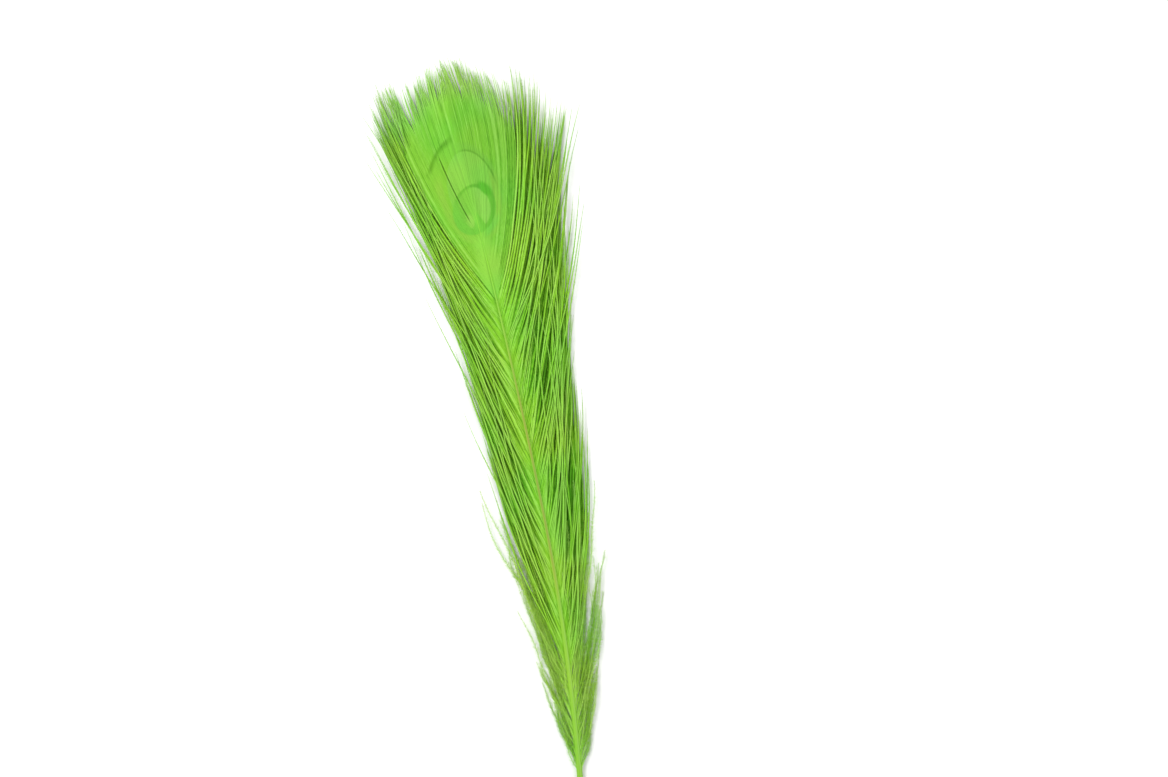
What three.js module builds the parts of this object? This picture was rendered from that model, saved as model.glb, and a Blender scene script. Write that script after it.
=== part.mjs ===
// A peacock's eye feather, bleached and dyed, lying on its back on a flat surface.
//
// Millimetres, +Z up. The shaft runs along +Y from its cut end to the eye, and the front of the
// feather faces +Z. The origin is at the centre of the feather's footprint, on the surface.
//
// Every barb is a filament of its own that strips off the shaft, and there are several hundred.
// So each row of barbs is given here as three flat solids that reach the tips of its barbs: the
// short soft barbs at the foot, the long loose barbs, called herl, and the barbs that close up
// into the eye. Their outlines come from one growth law.
import * as THREE from "three";

// Lengths along the shaft, from the cut end of the quill.
const BARE_QUILL = 40;
const FLUFF_END = 92;
const HERL_END = 279;
const SHAFT_LENGTH = 326;
const FEATHER_LENGTH = 400;

// The growth law: how long a barb is, and how many degrees it leans away from the shaft, for each
// place on the shaft. The lower barbs run close to the shaft. Under the eye the right row splays out
// further than the left one, and the barbs that hold the eye curl back in at their tips.
const LEFT = -1;
const RIGHT = 1;
const ROOTS = [BARE_QUILL, 66, FLUFF_END, 150, 215, 250, HERL_END, 295, 312, 321, SHAFT_LENGTH];
const BARB_LENGTH = [34, 78, 106, 128, 138, 134, 116, 106, 89, 80, 74];
const LEAN_AT_ROOT = {
  [LEFT]: [18, 17, 16, 15, 16, 23, 28, 26, 18, 9, 0],
  [RIGHT]: [20, 19, 18, 19, 23, 29, 28, 24, 16, 8, 0],
};
const LEAN_AT_TIP = {
  [LEFT]: [8, 7, 6, 5, 8, 11, 3, -1, -5, -3, 0],
  [RIGHT]: [9, 8, 8, 10, 17, 22, 6, -5, -5, -3, 0],
};

// The shaft: half widths, and the height of its middle over the surface, at places along it.
const SHAFT = {
  at: [0, BARE_QUILL, 120, 200, 270, 305, SHAFT_LENGTH],
  radius: [1.6, 1.55, 1.3, 1.0, 0.65, 0.4, 0.2],
  height: [1.6, 1.6, 1.9, 2.5, 2.9, 2.9, 2.6],
};
const SHAFT_SIDES = 12;
const SHAFT_STEPS = 48;
const SHAFT_FLATTENING = 0.94;
const GROOVE_DEPTH = 0.45;
const GROOVE_EDGE = -0.8;

// The feather sways: it bends to the left from one place on, and its foot bends to the left too,
// below another. The distances are what each bend comes to at the feather's tip and at its foot.
const BEND_START = 150;
const BEND = 10;
const FOOT_BEND_START = 170;
const FOOT_BEND = 12;

// Each row's solids are thickest along the shaft and thin out over this distance from it.
const HEIGHT_AT_SHAFT = 4;
const HEIGHT_AT_TIPS = 1.2;
const THINS_OVER = 45;
const GAP = 0.3;
const BARB_STEPS = 8;
const ROOT_STEP = 8;

// The value in a table at a place between its entries.
function read(places, values, place) {
  const next = Math.max(1, places.findIndex((p) => p >= place));
  const share = (place - places[next - 1]) / (places[next] - places[next - 1]);
  return THREE.MathUtils.lerp(values[next - 1], values[next], THREE.MathUtils.clamp(share, 0, 1));
}

// The points along one barb, from its root on a straight shaft to its tip. They can be moved
// outwards, square to the barb, to keep clear of the next solid.
function barb(root, side, outwards = 0) {
  const step = read(ROOTS, BARB_LENGTH, root) / BARB_STEPS;
  const leanAtRoot = read(ROOTS, LEAN_AT_ROOT[side], root);
  const leanAtTip = read(ROOTS, LEAN_AT_TIP[side], root);
  const point = new THREE.Vector2(0, root);
  const points = [];
  for (let i = 0; i < BARB_STEPS; i++) {
    const degrees = THREE.MathUtils.lerp(leanAtRoot, leanAtTip, (i + 0.5) / BARB_STEPS);
    const lean = THREE.MathUtils.degToRad(degrees);
    const along = new THREE.Vector2(side * Math.sin(lean), Math.cos(lean));
    const across = new THREE.Vector2(side * Math.cos(lean), -Math.sin(lean));
    point.addScaledVector(along, step);
    points.push(point.clone().addScaledVector(across, outwards));
  }
  return points;
}

// Places along the shaft from one to another, evenly spaced.
function placesBetween(first, last) {
  const count = Math.max(2, Math.round((last - first) / ROOT_STEP));
  return Array.from({ length: count + 1 }, (_, i) => THREE.MathUtils.lerp(first, last, i / count));
}

// How far a bend that starts at one place, and comes to an amount at its end, moves another place.
function bendBy(amount, start, end, place) {
  return amount * Math.max(0, (place - start) / (end - start)) ** 2;
}

// How far the feather's middle line is moved sideways at a place along it.
function swayAt(y) {
  return -bendBy(BEND, BEND_START, FEATHER_LENGTH, y) - bendBy(FOOT_BEND, FOOT_BEND_START, 0, y);
}

// Moves every vertex sideways with the feather's sway.
function sway(geometry) {
  const position = geometry.getAttribute("position");
  for (let i = 0; i < position.count; i++) {
    position.setX(i, position.getX(i) + swayAt(position.getY(i)));
  }
  return geometry;
}

// The quill and the rachis, which grew as one tapering piece, with a groove down its back above the quill.
function makeShaft() {
  const geometry = new THREE.CylinderGeometry(1, 1, SHAFT_LENGTH, SHAFT_SIDES, SHAFT_STEPS);
  geometry.rotateY(Math.PI / SHAFT_SIDES);
  const position = geometry.getAttribute("position");
  for (let i = 0; i < position.count; i++) {
    const along = THREE.MathUtils.clamp(position.getY(i) + SHAFT_LENGTH / 2, 0, SHAFT_LENGTH);
    const radius = read(SHAFT.at, SHAFT.radius, along);
    const groove = THREE.MathUtils.smoothstep(along, BARE_QUILL, FLUFF_END) * GROOVE_DEPTH;
    const aroundX = position.getX(i);
    const aroundZ = position.getZ(i);
    const inGroove = aroundZ < GROOVE_EDGE ? groove * (1 - Math.abs(aroundX)) : 0;
    position.setXYZ(
      i,
      aroundX * radius,
      along,
      read(SHAFT.at, SHAFT.height, along) + (aroundZ * SHAFT_FLATTENING + inGroove) * radius,
    );
  }
  return sway(geometry);
}

// The outline of the barbs rooted from one place to another on one side. It is clear of the shaft,
// of the solids below and above, and of the other side's barbs beyond the shaft's tip.
function outline(first, last, side) {
  const besideShaft = (y) => (y < SHAFT_LENGTH ? read(SHAFT.at, SHAFT.radius, y) : 0) + GAP;
  const tips = placesBetween(first, last).slice(1, -1).reverse();
  const lowest = barb(first, side, -GAP / 2).filter((point) => Math.abs(point.x) > besideShaft(point.y));
  const points = [
    ...placesBetween(first + GAP, last - GAP).map((y) => new THREE.Vector2(0, y)),
    ...barb(last, side, GAP / 2),
    ...tips.map((root) => barb(root, side).at(-1)),
    ...lowest.reverse(),
  ];
  for (const point of points) {
    point.x = side * Math.max(Math.abs(point.x), besideShaft(point.y));
  }
  return new THREE.Shape(side === RIGHT ? points.reverse() : points);
}

// One flat solid for a stretch of one row of barbs.
function makeRow(first, last, side) {
  const options = { depth: HEIGHT_AT_SHAFT, bevelEnabled: false, steps: 1 };
  const geometry = new THREE.ExtrudeGeometry(outline(first, last, side), options);
  const position = geometry.getAttribute("position");
  for (let i = 0; i < position.count; i++) {
    if (position.getZ(i) === 0) continue;
    const away = Math.min(1, Math.abs(position.getX(i)) / THINS_OVER);
    position.setZ(i, THREE.MathUtils.lerp(HEIGHT_AT_SHAFT, HEIGHT_AT_TIPS, away));
  }
  return sway(geometry);
}

const hornMaterial = new THREE.MeshStandardMaterial({ color: 0xa9a857, roughness: 0.42, metalness: 0 });
const herlMaterial = new THREE.MeshStandardMaterial({ color: 0x7cc832, roughness: 0.7, metalness: 0 });
const eyeMaterial = new THREE.MeshStandardMaterial({ color: 0x74d048, roughness: 0.6, metalness: 0 });
const fluffMaterial = new THREE.MeshStandardMaterial({ color: 0x9bd860, roughness: 0.85, metalness: 0 });

function named(name, geometry, material) {
  const mesh = new THREE.Mesh(geometry, material);
  mesh.name = name;
  return mesh;
}

const feather = new THREE.Group();
feather.add(named("shaft", makeShaft(), hornMaterial));
for (const [sideName, side] of [["left", LEFT], ["right", RIGHT]]) {
  feather.add(named("fluff_" + sideName, makeRow(BARE_QUILL, FLUFF_END, side), fluffMaterial));
  feather.add(named("herl_" + sideName, makeRow(FLUFF_END, HERL_END, side), herlMaterial));
  feather.add(named("eye_" + sideName, makeRow(HERL_END, SHAFT_LENGTH, side), eyeMaterial));
}

// The origin goes to the centre of the footprint.
const footprint = new THREE.Box3().setFromObject(feather, true);
const middle = footprint.getCenter(new THREE.Vector3());
feather.position.set(-middle.x, -middle.y, -footprint.min.z);

export default feather;
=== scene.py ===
# %% [markdown]
# # A peacock's eye feather, barb by barb
#
# A feather is a shaft with two rows of barbs. Each barb is a flat filament, edged on both sides with
# much finer filaments called barbules. Near the foot the barbs are soft fluff. Higher up they are
# long and loose, and fly tiers call them herl. Around the shaft's tip they lie edge to edge and
# close up into the eye. This one was bleached and then dyed lime green, so the eye's rings are faint.
#
# The frame holds a flat solid for each stretch of each row. Here those solids give way to the barbs
# themselves: the shaft is modelled by hand with operators, and the barbs, which are far too many
# for that, are joined meshes made from arrays.

# %% Load the frame
import math
from types import SimpleNamespace

import bmesh
import bpy
import numpy as np
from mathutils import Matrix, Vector


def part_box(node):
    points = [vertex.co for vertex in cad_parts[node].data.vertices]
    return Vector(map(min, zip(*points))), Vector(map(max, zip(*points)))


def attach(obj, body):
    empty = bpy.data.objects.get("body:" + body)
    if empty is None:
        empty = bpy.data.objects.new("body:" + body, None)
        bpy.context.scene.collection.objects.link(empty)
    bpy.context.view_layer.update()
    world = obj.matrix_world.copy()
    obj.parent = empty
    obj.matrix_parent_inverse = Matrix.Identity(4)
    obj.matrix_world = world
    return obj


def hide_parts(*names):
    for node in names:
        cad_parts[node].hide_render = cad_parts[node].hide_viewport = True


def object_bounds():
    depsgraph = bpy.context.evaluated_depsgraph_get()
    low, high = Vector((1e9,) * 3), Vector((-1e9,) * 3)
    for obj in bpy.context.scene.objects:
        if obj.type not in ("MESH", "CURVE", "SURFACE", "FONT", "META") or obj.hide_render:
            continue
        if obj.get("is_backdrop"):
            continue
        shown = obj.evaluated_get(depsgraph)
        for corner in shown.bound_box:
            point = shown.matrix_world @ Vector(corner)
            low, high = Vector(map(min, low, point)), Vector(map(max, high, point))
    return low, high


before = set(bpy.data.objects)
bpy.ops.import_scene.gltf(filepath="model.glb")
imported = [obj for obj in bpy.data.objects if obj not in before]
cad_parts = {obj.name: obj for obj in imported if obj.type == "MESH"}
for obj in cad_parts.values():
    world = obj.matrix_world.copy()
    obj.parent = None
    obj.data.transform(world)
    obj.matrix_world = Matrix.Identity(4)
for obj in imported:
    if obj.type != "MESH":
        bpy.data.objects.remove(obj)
cad_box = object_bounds()
rng = np.random.default_rng(1528)
print("CAD box, mm:", [round(1000 * (hi - lo), 1) for lo, hi in zip(*cad_box)])

# %% [markdown]
# # Where the feather lies
#
# All the growing is worked out in millimetres, on a straight feather whose quill is cut off at y = 0
# and whose shaft runs up the Y axis. Two small moves put that feather in its place: a sway, which
# bends both ends of the feather to the left, and a shift to where the frame has the shaft.

# %% The feather's place and its sway
MM = 0.001
FEATHER_LENGTH, SHAFT_LENGTH = 400.0, 326.0
BEND_START, BEND = 150.0, 10.0
FOOT_BEND_START, FOOT_BEND = 170.0, 12.0
BARE_QUILL, QUILL_RADIUS = 40.0, 1.6
SHAFT_AT = [0, BARE_QUILL, 120, 200, 270, 305, SHAFT_LENGTH]
SHAFT_RADIUS = [QUILL_RADIUS, 1.55, 1.3, 1.0, 0.65, 0.4, 0.2]
SHAFT_HEIGHT = [1.6, 1.6, 1.9, 2.5, 2.9, 2.9, 2.6]


def bend_by(amount, start, end, place):
    return amount * np.clip((place - start) / (end - start), 0, None) ** 2


def sway(place):
    """How far the feather's middle line has moved sideways at a place along it."""
    towards_tip = bend_by(BEND, BEND_START, FEATHER_LENGTH, place)
    return -towards_tip - bend_by(FOOT_BEND, FOOT_BEND_START, 0.0, place)


def shaft_radius(place):
    return np.interp(place, SHAFT_AT, SHAFT_RADIUS)


along_shaft = np.arange(SHAFT_LENGTH)
shaft_reach = (sway(along_shaft) + shaft_radius(along_shaft)).max()
shaft_low, shaft_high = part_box("shaft")
PLACE = np.array([shaft_high.x / MM - shaft_reach, shaft_low.y / MM, 0.0])
print("the quill's cut end is at", PLACE.round(2), "mm; the tip sways by", sway(FEATHER_LENGTH), "mm")

# %% [markdown]
# # The growth law
#
# How a barb grows depends on where it is rooted: its length, how far it leans out at its root, and
# how far it still leans at its tip. A table with a few places along the shaft is enough, and every
# barb reads its own values between them. The lower barbs run close to the shaft. Under the eye the
# right row splays out further than the left one, and the barbs that hold the eye curl back in at their
# tips. A barb that is shorter than its neighbours bends as they do and only ends sooner, or the closed
# vane would have slits. The same law shaped the frame's solids, so the barbs fill them.

# %% Growth law
LEFT, RIGHT = -1, 1
SIDES = ((LEFT, "left"), (RIGHT, "right"))
FLUFF_END, HERL_END = 92.0, 279.0
ROOTS = [BARE_QUILL, 66, FLUFF_END, 150, 215, 250, HERL_END, 295, 312, 321, SHAFT_LENGTH]
BARB_LENGTH = [34, 78, 106, 128, 138, 134, 116, 106, 89, 80, 74]
LEAN_AT_ROOT = {
    LEFT: [18, 17, 16, 15, 16, 23, 28, 26, 18, 9, 0],
    RIGHT: [20, 19, 18, 19, 23, 29, 28, 24, 16, 8, 0],
}
LEAN_AT_TIP = {
    LEFT: [8, 7, 6, 5, 8, 11, 3, -1, -5, -3, 0],
    RIGHT: [9, 8, 8, 10, 17, 22, 6, -5, -5, -3, 0],
}


def usual_length(roots):
    return np.interp(roots, ROOTS, BARB_LENGTH)


def grow(side, roots, lengths, steps, swerve=0.0):
    """Middle lines of barbs, as barbs by points by (x, y). A swerve adds degrees to the lean."""
    of_whole = (lengths / usual_length(roots))[:, None]
    middle = of_whole * (np.arange(steps) + 0.5) / steps
    at_root = np.interp(roots, ROOTS, LEAN_AT_ROOT[side])[:, None]
    at_tip = np.interp(roots, ROOTS, LEAN_AT_TIP[side])[:, None]
    lean = np.radians(at_root + (at_tip - at_root) * middle + swerve)
    step = (lengths / steps)[:, None]
    start = np.zeros((len(roots), 1))
    x = np.hstack([start, np.cumsum(side * np.sin(lean) * step, axis=1)])
    y = np.hstack([start, np.cumsum(np.cos(lean) * step, axis=1)]) + roots[:, None]
    return np.stack([x, y], axis=2)


sample_roots = np.array([FLUFF_END, 215.0, HERL_END])
sample = grow(LEFT, sample_roots, usual_length(sample_roots), steps=24)
print("tips of three barbs of the left row, mm:", sample[:, -1].round(0).tolist())

# %% [markdown]
# # Helpers: smooth steps, and the directions along and across a barb
#
# A smooth step goes gently from 0 to 1 between two values. It is how one habit of a barb fades into
# another. The direction along a barb comes from its neighbouring points, and the direction across it
# is that one turned by a quarter.

# %% Smooth steps and directions
def smooth(value, low, high):
    share = np.clip((value - low) / (high - low), 0, 1)
    return share * share * (3 - 2 * share)


def unit(vectors):
    return vectors / np.linalg.norm(vectors, axis=-1, keepdims=True)


def across(line):
    """The direction square to flat lines, pointing to the right of the way that they grow."""
    along = unit(np.gradient(line, axis=1))
    return np.stack([along[..., 1], -along[..., 0]], axis=-1)


print("a smooth step at a quarter, a half and three quarters:", smooth(np.array([0.25, 0.5, 0.75]), 0, 1))

# %% [markdown]
# # Strands and locks
#
# Loose barbs don't stay evenly spread. A few neighbours cling together by their barbules in a strand,
# and several strands run into one pointed lock, with gaps between one lock and the next. Each
# barb is therefore drawn towards the middle barb of its strand soon after its root, and the strand
# towards the middle of its lock further out. Only the part of a pull that lies across the barb is
# used, so that its length hardly changes.

# %% Strands and locks
def lock_leaders(count, smallest, largest):
    """For each barb, the number of the barb in the middle of its lock."""
    leaders = np.empty(count, int)
    first = 0
    while first < count:
        last = min(first + int(rng.integers(smallest, largest + 1)), count)
        leaders[first:last] = (first + last - 1) // 2
        first = last
    return leaders


def pull(line, start, leaders):
    """How far across each barb its leader lies. start holds the barb that is pulled for each one."""
    return ((line[leaders] - line[start]) * across(line)).sum(axis=-1)


def waves(count, steps, degrees, rate):
    """Slow swerves to and fro, different for each barb."""
    middle = (np.arange(steps) + 0.5) / steps
    phase = rng.uniform(0, 2 * np.pi, (count, 1))
    turns = rng.uniform(0.6, 1.4, (count, 1)) * rate
    return rng.normal(0, degrees, (count, 1)) * np.sin(2 * np.pi * turns * middle + phase)


print("leaders of locks of 3 to 6 barbs among 20:", lock_leaders(20, 3, 6).tolist())

# %% [markdown]
# # From middle lines to a mesh
#
# Each barb is a flat ribbon with a four-cornered section: two thin edges, a ridge on top and a keel
# below. Its barbules are spikes with four faces, rooted along both edges and swept forward. Both
# shapes are closed and face outwards. They are made for all the barbs of a piece at once with
# arrays, because a loop over a hundred thousand barbules would take minutes.
#
# Three things are stored with the mesh. "vane" holds where on the feather a point grew and how far
# along its barb it is, so a pattern stays with its barb where a lock has pulled it aside. "tone" is a
# number for each barb. Materials read these two. The UV map is for baking the colours, and gives each
# barb a strip of its own, with the ridge along the middle and the barbules on both sides. The upper and
# lower faces of a barb share its strip, because their colours are the same.

# %% Ribbons
CORNERS = np.arange(4)


def ribbon_faces(barbs, rings):
    """Faces of closed ribbons whose vertices go ring by ring and end in a point."""
    ring = np.arange(rings - 1)[:, None] * 4
    turned = (CORNERS + 1) % 4
    sides = np.stack([ring + CORNERS, ring + turned, ring + 4 + turned, ring + 4 + CORNERS], axis=-1)
    last = (rings - 1) * 4
    tip = np.stack([last + CORNERS, last + turned, np.full(4, rings * 4)], axis=-1)
    quads = np.concatenate([sides.reshape(-1, 4), CORNERS[::-1][None]])
    start = np.arange(barbs)[:, None, None] * (rings * 4 + 1)
    return [(quads + start).reshape(-1, 4), (tip + start).reshape(-1, 3)]


def ribbon_points(line):
    """Left edge, ridge, right edge and keel at each point of the barbs, then their tips."""
    wide = line.sideways * line.half_width[..., None]
    high = line.upwards * line.half_height[..., None]
    corners = line.centre[:, :, None] + np.stack([-wide, high, wide, -high], axis=2)
    barbs, points = line.centre.shape[:2]
    body = corners[:, :-1].reshape(barbs, (points - 1) * 4, 3)
    return np.concatenate([body, line.centre[:, -1:]], axis=1)


print("a ribbon of three rings has", [len(faces) for faces in ribbon_faces(1, 3)], "quads and triangles")

# %% Places between the points of a barb
def between(values, barb, place):
    """Values between the points of barbs, at places from 0 to 1 along them."""
    at = place * (values.shape[1] - 1)
    low = np.clip(at.astype(int), 0, values.shape[1] - 2)
    share = (at - low).reshape(-1, *[1] * (values.ndim - 2))
    return values[barb, low] * (1 - share) + values[barb, low + 1] * share


sample = np.array([[0, 1, 4.0]])
print("three quarters along a barb of 0, 1, 4:", between(sample, np.array([0]), np.array([0.75])))

# %% [markdown]
# # Barbules
#
# A barbule's root is a short stretch of the barb's edge and a point below it, and its fourth corner is
# its tip. On the left edge the two ends of the stretch change places, because a mirrored spike would
# otherwise be inside out. On the UV map the root of a spike stands a little away from the ribbon.

# %% Barbules along one edge of the barbs
SPIKE_FACES = np.array([[0, 2, 1], [0, 1, 3], [0, 3, 2], [1, 2, 3]])
STRIP_RIBBON, STRIP_GAP, STRIP_ROOT, STRIP_TIP = 0.15, 0.02, 0.2, 0.46
REACH_SPREAD = (0.75, 1.15)
SHORTEST = 0.1
ROOT_FROM_MIDDLE = 0.7
OVER_FLOOR = 0.03


def spike_part(line, edge, barbule):
    """The spikes along one edge, with what the mesh stores at their corners."""
    lengths = np.linalg.norm(np.diff(line.centre, axis=1), axis=2).sum(axis=1)
    counts = (lengths / barbule["pitch"]).astype(int)
    barb = np.repeat(np.arange(len(counts)), counts)
    order = np.arange(len(barb)) - np.repeat(np.cumsum(counts) - counts, counts)
    place = (order + rng.uniform(0.1, 0.9, len(barb))) / counts[barb]
    reach = between(line.barbule, barb, place) * rng.uniform(*REACH_SPREAD, len(barb))
    kept = reach > SHORTEST
    barb, place, reach = barb[kept], place[kept], reach[kept][:, None]

    side = edge * between(line.sideways, barb, place)
    ahead = between(line.along, barb, place)
    above = between(line.upwards, barb, place)
    width = between(line.half_width, barb, place)[:, None]
    swept = np.radians(rng.normal(barbule["sweep"], barbule["spread"], (len(barb), 1)))
    lift = rng.normal(0, barbule["lift"], (len(barb), 1))
    root = between(line.centre, barb, place) + side * width * ROOT_FROM_MIDDLE
    stretch = -edge * ahead * barbule["root"]
    tip = root + reach * (ahead * np.cos(swept) + side * np.sin(swept) + above * lift)
    tip[:, 2] = np.maximum(tip[:, 2], OVER_FLOOR)
    points = np.stack([root + stretch, root - stretch, root - above * barbule["depth"], tip], axis=1)

    grown = between(line.vane, barb, place)[:, None].repeat(4, axis=1)
    to_root = edge * barbule["root"] / lengths[barb]
    to_tip = (reach * np.cos(swept))[:, 0] / lengths[barb]
    along_strip = place[:, None] + np.stack([-to_root, to_root, 0 * place, to_tip], axis=1)
    strip_edge = STRIP_RIBBON + STRIP_GAP
    across_strip = 0.5 + edge * np.array([strip_edge, strip_edge, STRIP_ROOT, STRIP_TIP])
    strips = np.stack([along_strip, (barb[:, None] + across_strip) / len(counts)], axis=2)
    return {
        "points": points.reshape(-1, 3),
        "faces": [(SPIKE_FACES + np.arange(len(barb))[:, None, None] * 4).reshape(-1, 3)],
        "vane": grown.reshape(-1, 3),
        "tone": np.repeat(line.tone[barb], 4),
        "strip": np.clip(strips, 0, 1).reshape(-1, 2),
    }


print("a barbule has", len(SPIKE_FACES), "faces")

# %% Joining ribbons and barbules in one object
def join_arrays(name, parts, material):
    """One object from parts. A part has its points, its faces, and its values at each point."""
    joined = {key: np.concatenate([part[key] for part in parts]) for key in ("vane", "tone", "strip")}
    points = (np.concatenate([part["points"] for part in parts]) + PLACE) * MM
    firsts = np.cumsum([0] + [len(part["points"]) for part in parts])
    faces = [array + first for part, first in zip(parts, firsts) for array in part["faces"]]
    corners = np.concatenate([array.ravel() for array in faces])
    sizes = np.concatenate([np.full(len(array), array.shape[1]) for array in faces])

    mesh = bpy.data.meshes.new(name)
    mesh.vertices.add(len(points))
    mesh.vertices.foreach_set("co", points.ravel())
    mesh.loops.add(len(corners))
    mesh.loops.foreach_set("vertex_index", corners)
    mesh.polygons.add(len(sizes))
    mesh.polygons.foreach_set("loop_start", np.cumsum(sizes) - sizes)
    mesh.update(calc_edges=True)
    mesh.attributes.new("vane", "FLOAT_VECTOR", "POINT").data.foreach_set("vector", joined["vane"].ravel())
    mesh.attributes.new("tone", "FLOAT", "POINT").data.foreach_set("value", joined["tone"])
    mesh.uv_layers.new(name="OFBake").uv.foreach_set("vector", joined["strip"][corners].ravel())
    mesh.materials.append(material)
    piece = bpy.data.objects.new(name, mesh)
    bpy.context.scene.collection.objects.link(piece)
    sound = not mesh.validate() and len(mesh.loops) == 2 * len(mesh.edges)
    print(f"{name}: {int((sizes - 2).sum())} triangles, two faces at every edge: {sound}")
    return piece


# %% [markdown]
# # A row of barbs
#
# A row takes the grown middle lines of its barbs, the shift across them and the height at each point.
# It adds the sway, works out which way is along, across and up at each point, and makes the ribbons
# and both edges of barbules.

# %% A row of barbs
def make_row(name, grown, shift, height, look, material):
    """One object from middle lines, the shift across them, the height, and a row's look."""
    barbs, points = grown.shape[:2]
    along_barb = np.broadcast_to(np.linspace(0, 1, points), (barbs, points))
    flat = grown + across(grown) * shift[..., None]
    line = SimpleNamespace(**look)
    line.centre = np.dstack([flat[..., 0] + sway(flat[..., 1]), flat[..., 1], height])
    line.along = unit(np.gradient(line.centre, axis=1))
    level = unit(np.cross(line.along, [0.0, 0.0, 1.0]))
    roll = np.radians(line.roll)[:, None, None] * smooth(along_barb, 0, 0.15)[..., None]
    line.sideways = level * np.cos(roll) + np.cross(level, line.along) * np.sin(roll)
    line.upwards = np.cross(line.sideways, line.along)
    line.vane = np.dstack([line.grown, along_barb])

    ring_strip = 0.5 + STRIP_RIBBON * np.array([-1, 0, 1, 0.1])
    strip_x = np.broadcast_to(along_barb[:, :-1, None], (barbs, points - 1, 4)).reshape(barbs, -1)
    strip_y = (np.arange(barbs)[:, None] + np.tile(ring_strip, points - 1)) / barbs
    strip = np.stack([strip_x, strip_y], axis=2)
    tip_strip = np.stack([np.ones(barbs), (np.arange(barbs) + 0.5) / barbs], axis=1)[:, None]
    ribbon = {
        "points": ribbon_points(line).reshape(-1, 3),
        "faces": ribbon_faces(barbs, points - 1),
        "vane": np.hstack([line.vane[:, :-1].repeat(4, axis=1), line.vane[:, -1:]]).reshape(-1, 3),
        "tone": np.repeat(line.tone, (points - 1) * 4 + 1),
        "strip": np.hstack([strip, tip_strip]).reshape(-1, 2),
    }
    edges = [spike_part(line, edge, line.barbules) for edge in (LEFT, RIGHT)]
    return join_arrays(name, [ribbon, *edges], material)


print("a row is a ribbon and two edges of barbules for each barb")

# %% [markdown]
# # Dyes and surfaces
#
# Nothing here is painted. Every colour is worked out in shader nodes, from where a point grew on the
# feather and where it lies, so it is the same pattern from any side.

# %% Node helpers
MIX_FIRST, MIX_SECOND, MIX_RESULT = 6, 7, 2


def dye(red, green, blue):
    """A colour given by its screen values, as the linear values that a shader wants."""
    shares = np.array([red, green, blue]) / 255
    linear = np.where(shares > 0.04045, ((shares + 0.055) / 1.055) ** 2.4, shares / 12.92)
    return (*linear.tolist(), 1.0)


def add(tree, kind, sockets=None, **settings):
    """A new shader node. Each socket gets a value, or is linked to another node's output."""
    made = tree.nodes.new("ShaderNode" + kind)
    for key, value in settings.items():
        setattr(made, key, value)
    for key, value in (sockets or {}).items():
        if isinstance(value, bpy.types.NodeSocket):
            tree.links.new(value, made.inputs[key])
        else:
            made.inputs[key].default_value = value
    return made


def group_node(tree, group, **sockets):
    """A node that runs a node group, as its outputs."""
    return add(tree, "Group", sockets, node_tree=group).outputs


def calc(tree, operation, *values, clamp=False):
    """The result of a Math node."""
    return add(tree, "Math", dict(enumerate(values)), operation=operation, use_clamp=clamp).outputs[0]


def product(tree, first, second):
    return calc(tree, "MULTIPLY", first, second)


def blend(tree, share, first, second, kind="MIX"):
    """The colour between two colours, or one colour laid over the other."""
    sockets = {0: share, MIX_FIRST: first, MIX_SECOND: second}
    return add(tree, "Mix", sockets, data_type="RGBA", blend_type=kind).outputs[MIX_RESULT]


def fade(tree, value, low, high, start=0.0, end=1.0):
    """A smooth step from one value to another."""
    sockets = {"Value": value, "From Min": low, "From Max": high, "To Min": start, "To Max": end}
    return add(tree, "MapRange", sockets, interpolation_type="SMOOTHSTEP").outputs["Result"]


def stored(tree, name):
    """An attribute that is stored with the mesh."""
    return add(tree, "Attribute", attribute_name=name)


def on_vane(tree):
    """Where on the feather a point grew: how far to the right and how far up, in mm."""
    parts = add(tree, "SeparateXYZ", {"Vector": stored(tree, "vane").outputs["Vector"]}).outputs
    return parts["X"], parts["Y"]


def new_group(name, inputs, outputs):
    """An empty node group with its sockets, and its two end nodes."""
    group = bpy.data.node_groups.new(name, "ShaderNodeTree")
    for label, kind in inputs.items():
        group.interface.new_socket(label, in_out="INPUT", socket_type="NodeSocket" + kind)
    for label, kind in outputs.items():
        group.interface.new_socket(label, in_out="OUTPUT", socket_type="NodeSocket" + kind)
    return group, group.nodes.new("NodeGroupInput").outputs, group.nodes.new("NodeGroupOutput").inputs


def new_material(name, **values):
    """A material, its node tree and its shader, with the values that are the same all over."""
    material = bpy.data.materials.new(name)
    material.use_nodes = True
    shader = material.node_tree.nodes["Principled BSDF"]
    for label, value in values.items():
        shader.inputs[label.replace("_", " ")].default_value = value
    return material, material.node_tree, shader.inputs


print("lime, in linear values:", [round(value, 3) for value in dye(140, 210, 76)])

# %% [markdown]
# # Patches: where the dye took more, and where less
#
# A dye bath never colours a feather evenly. Soft patches a few centimetres across shift all the
# pieces together, from yellower to bluer lime, so this is one group that every material uses.

# %% Dye patches group
PATCH_SCALE = 22.0
YELLOWER_HUE, BLUER_HUE = 0.492, 0.512
patches, patches_in, patches_out = new_group("dye patches", {"Color": "Color"}, {"Color": "Color"})
place = add(patches, "TexCoord").outputs["Object"]
broad = add(patches, "TexNoise", {"Vector": place, "Scale": PATCH_SCALE, "Detail": 2.0}).outputs["Fac"]
shifted = [add(patches, "HueSaturation", {"Hue": hue, "Color": patches_in["Color"]}).outputs["Color"]
           for hue in (YELLOWER_HUE, BLUER_HUE)]
patched = blend(patches, fade(patches, broad, 0.35, 0.65), *shifted)
patches.links.new(patched, patches_out["Color"])


def surface(tree, sockets, colour, height, strength, distance):
    """Gives a material its colour, with the dye's patches, and its fine relief."""
    tree.links.new(group_node(tree, patches, Color=colour)["Color"], sockets["Base Color"])
    bump = add(tree, "Bump", {"Height": height, "Strength": strength, "Distance": distance})
    tree.links.new(bump.outputs["Normal"], sockets["Normal"])


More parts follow.
